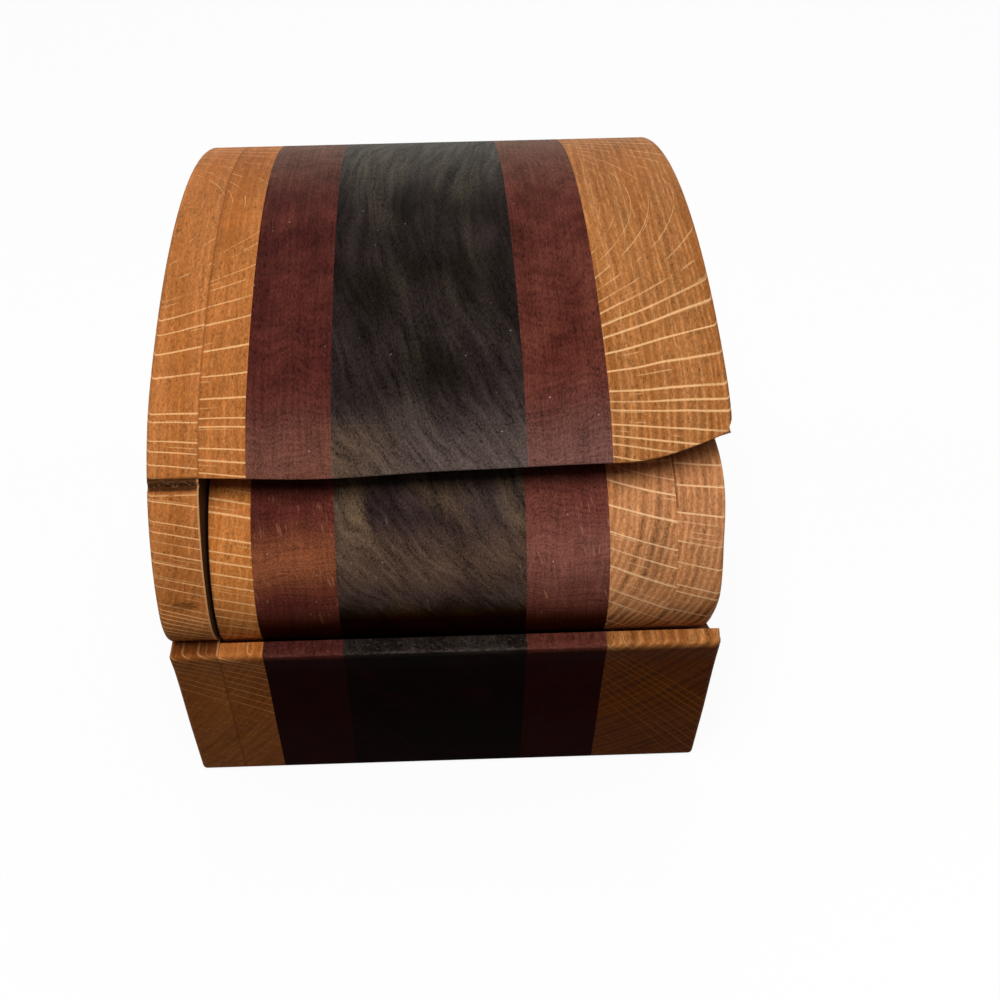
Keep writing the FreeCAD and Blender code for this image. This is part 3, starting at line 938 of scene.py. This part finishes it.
def build_drawer():
    """The drawer's boards round its hollow, and the two slices that close its ends."""
    shift = -BOARD_SHIFT
    trough = trough_view()
    # Painted sheen across the drawer's nose: low, middle and high level, and the paler colour.
    gold_sheen = (48.5, 57.5, 64.0, tint(134, 76, 48))
    rose_sheen = (46.0, 57.0, 65.5, tint(124, 76, 64))
    brown = (47.0, 57.0, 63.5, tint(84, 64, 52))
    # Painted shade: each drawer front gets darker towards the bottom, under its nose.
    drawer_low_shade = (49.5, 42.5, 0.82)
    purple_left = purpleheart("drawer_purple_left", 23.0, tint(78, 34, 28), tint(92, 44, 35),
                              gold_sheen, drawer_low_shade, 0.2)
    purple_right = purpleheart("drawer_purple_right", 31.0, tint(88, 42, 34), tint(104, 56, 46),
                               rose_sheen, drawer_low_shade, 0.3)
    # Painted sheen, and painted shade towards the bottom, for the wenge too.
    dark = wenge("drawer_wenge", 47.0, (tint(46, 34, 33), tint(68, 55, 50), tint(100, 80, 60)),
                 brown, (52.0, 44.5, 0.9), None, 0.16)
    # The oaks' last tuples are painted shade towards the bottom of the front.
    board_oak = oak("drawer_oak_right", 51.0, OAK_DRAWER, DRAWER_RIGHT_LOG, FACE_D + shift,
                    DRAWER_RIGHT_RAYS, drawer_thin, (), (48.0, 41.0, 0.4))
    for name, left, right, slot, material, node in (
        ("drawer_purple_left", FACE_A, FACE_B, "purpleheart", purple_left,
         "drawer_purpleheart_left"),
        ("drawer_wenge", FACE_B, FACE_C, "wenge", dark, "drawer_wenge_centre"),
        ("drawer_purple_right", FACE_C, FACE_D, "purpleheart", purple_right,
         "drawer_purpleheart_right"),
        ("drawer_oak_board", FACE_D, SLICE_FACE - shift, "oak", board_oak, "drawer_oak_right"),
    ):
        rows = [(left + shift, trough), (right + shift, trough)]
        board(name, rows, "drawer", material, node)

    log = drawer_view()
    ends = eased_end(log, DRAWER_LEFT - 0.25, -1.0, 0.15)
    inner = oak("drawer_oak_left", 63.0, OAK_INNER, DRAWER_LEFT_LOG, DRAWER_LEFT, DRAWER_LEFT_RAYS,
                drawer_thin, (), (51.0, 43.0, 0.2), kerf_dark)
    board("drawer_inner_slice", ends[::-1] + [(FACE_A + shift, log)], "drawer", inner,
          "drawer_inner_end")

    z = log[:, 1]
    reach = 1.1 - 0.8 * smooth(z, 58.0, 66.0) + 1.3 * smooth(z, 49.0, 41.0)
    proud = SLICE_PROUD * smooth(z, 56.0, 67.0)
    ends = [(x + proud, view) for x, view in eased_end(log, DRAWER_RIGHT, 1.0, reach)]
    # Painted shade towards the bottom, and the painted shadow of the slice's step.
    outer = oak("drawer_oak_slice", 77.0, OAK_DRAWER, SLICE_LOG, SLICE_FACE, SLICE_RAYS,
                drawer_thin, (), (50.0, 43.0, 0.3), slice_step_shadow)
    board("drawer_outer_slice", [(SLICE_FACE, log)] + ends, "drawer", outer,
          "drawer_outer_end")


def build_stage():
    """A plain pale floor, which camera and mirror rays see as white paper."""
    mesh = bpy.data.meshes.new("floor")
    side = 3.0
    corners = [(-side, -side, 0.0), (side, -side, 0.0), (side, side, 0.0), (-side, side, 0.0)]
    mesh.from_pydata(corners, [], [(0, 1, 2, 3)])
    floor = bpy.data.objects.new("floor", mesh)
    bpy.context.scene.collection.objects.link(floor)
    s = Sheet("paper")
    path = [s.node("ShaderNodeLightPath", {}, {}, name)
            for name in ("Is Camera Ray", "Is Glossy Ray", "Is Transmission Ray")]
    seen = path[0].most(path[1]).most(path[2])
    paper = s.mix(seen, (0.16, 0.155, 0.15, 1.0), (0.95, 0.95, 0.95, 1.0))
    matt = s.node("ShaderNodeBsdfDiffuse", {}, {"Color": paper})
    glow = s.node("ShaderNodeEmission", {}, {"Color": (1.0, 1.0, 1.0, 1.0), "Strength": 1.0})
    share = seen * 0.9
    both = s.node("ShaderNodeMixShader", {}, {0: share, 1: matt, 2: glow})
    s.node_output(both)
    mesh.materials.append(s.material)


def lamp(name, place, aim, size, power):
    """A square soft lamp at a place, turned to an aim, in metres and watts."""
    data = bpy.data.lights.new(name, "AREA")
    data.shape = "SQUARE"
    data.size = size
    data.energy = power
    light = bpy.data.objects.new(name, data)
    light.location = place
    way = Vector(aim) - Vector(place)
    light.rotation_euler = way.to_track_quat("-Z", "Y").to_euler()
    bpy.context.scene.collection.objects.link(light)


def build_light():
    """One broad panel high in front, weak ones behind and aside, and a white world."""
    lamp("main_panel", (-0.06, -0.56, 0.92), (0.0, 0.0, 0.05), 0.5, 9.2)
    lamp("back_panel", (0.1, 0.9, 0.6), (0.0, 0.0, 0.08), 0.7, 2.6)
    lamp("left_panel", (-0.95, 0.15, 0.5), (0.0, 0.0, 0.05), 0.6, 1.6)
    lamp("right_panel", (0.95, 0.15, 0.5), (0.0, 0.0, 0.05), 0.6, 1.6)
    world = bpy.data.worlds.new("studio")
    world.use_nodes = True
    bpy.context.scene.world = world
    tree = world.node_tree
    tree.nodes.clear()
    path = tree.nodes.new("ShaderNodeLightPath")
    seen = path.outputs["Is Camera Ray"]
    for kind in ("Is Glossy Ray", "Is Transmission Ray"):
        either = tree.nodes.new("ShaderNodeMath")
        either.operation = "MAXIMUM"
        tree.links.new(seen, either.inputs[0])
        tree.links.new(path.outputs[kind], either.inputs[1])
        seen = either.outputs[0]
    plain = tree.nodes.new("ShaderNodeBackground")
    plain.inputs["Color"].default_value = (0.97, 0.98, 1.0, 1.0)
    plain.inputs["Strength"].default_value = 0.14
    white = tree.nodes.new("ShaderNodeBackground")
    white.inputs["Strength"].default_value = 1.0
    white.inputs["Color"].default_value = (1.0, 1.0, 1.0, 1.0)
    mix = tree.nodes.new("ShaderNodeMixShader")
    out = tree.nodes.new("ShaderNodeOutputWorld")
    tree.links.new(seen, mix.inputs[0])
    tree.links.new(plain.outputs[0], mix.inputs[1])
    tree.links.new(white.outputs[0], mix.inputs[2])
    tree.links.new(mix.outputs[0], out.inputs["Surface"])


CAMERA_PLACE = (-1.8, -244.6, 203.5)
CAMERA_PITCH = 38.27
CAMERA_YAW = 1.14
CAMERA_ROLL = -0.97
FOCAL_PIXELS = 1400.6
CENTRE_PIXELS = (454.3, 532.8)
FRAME_PIXELS = 1000.0


def build_camera():
    """The camera that was fitted to the glue lines and edges of the photograph."""
    data = bpy.data.cameras.new("camera")
    data.sensor_width = 36.0
    data.lens = FOCAL_PIXELS / FRAME_PIXELS * data.sensor_width
    data.shift_x = (FRAME_PIXELS / 2.0 - CENTRE_PIXELS[0]) / FRAME_PIXELS
    data.shift_y = (CENTRE_PIXELS[1] - FRAME_PIXELS / 2.0) / FRAME_PIXELS
    data.clip_start = 0.01
    data.clip_end = 20.0
    pitch, yaw, roll = (math.radians(a) for a in (CAMERA_PITCH, CAMERA_YAW, CAMERA_ROLL))
    turn_yaw = np.array([[math.cos(yaw), -math.sin(yaw), 0.0],
                         [math.sin(yaw), math.cos(yaw), 0.0], [0.0, 0.0, 1.0]])
    look = np.array([[1.0, 0.0, 0.0], [0.0, -math.sin(pitch), -math.cos(pitch)],
                     [0.0, math.cos(pitch), -math.sin(pitch)]])
    turn_roll = np.array([[math.cos(roll), -math.sin(roll), 0.0],
                          [math.sin(roll), math.cos(roll), 0.0], [0.0, 0.0, 1.0]])
    right, down, forward = turn_roll @ look @ turn_yaw
    columns = np.column_stack([right, -down, -forward])
    matrix = Matrix(columns.tolist()).to_4x4()
    matrix.translation = Vector(CAMERA_PLACE) * MM
    camera = bpy.data.objects.new("camera", data)
    camera.matrix_world = matrix
    bpy.context.scene.collection.objects.link(camera)
    bpy.context.scene.camera = camera


def main():
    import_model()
    build_block()
    build_drawer()
    build_stage()
    build_light()
    build_camera()
    bpy.context.scene.view_settings.view_transform = "Standard"


main()
